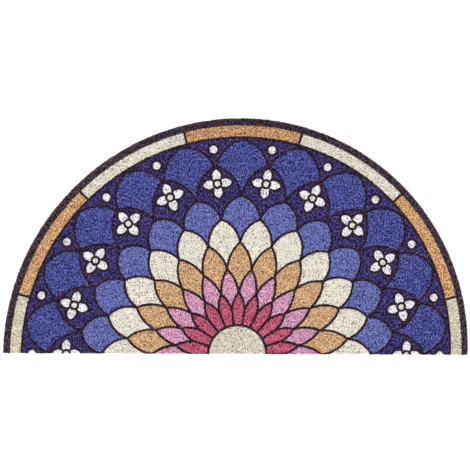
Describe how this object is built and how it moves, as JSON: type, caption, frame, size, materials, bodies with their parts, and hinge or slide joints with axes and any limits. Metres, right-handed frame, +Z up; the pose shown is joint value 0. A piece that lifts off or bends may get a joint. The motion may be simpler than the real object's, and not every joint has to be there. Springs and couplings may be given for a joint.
{
  "type": "half-round doormat",
  "caption": "Half-round flat doormat of tangled PVC coil with a printed rosette of scales and a block border, laid flat to wipe shoes at a door",
  "frame": {"origin": "on the underside, below the middle of the mat's bounding box", "axes": "+Z up, out of the printed top; X along the straight edge; the round side points to +Y and the straight edge is at -Y"},
  "size_m": [0.9, 0.458, 0.012],
  "materials": {
    "coil": "printed PVC coil, satin"
  },
  "bodies": {
    "root": {"mat": "coil"}
  },
  "joints": []
}
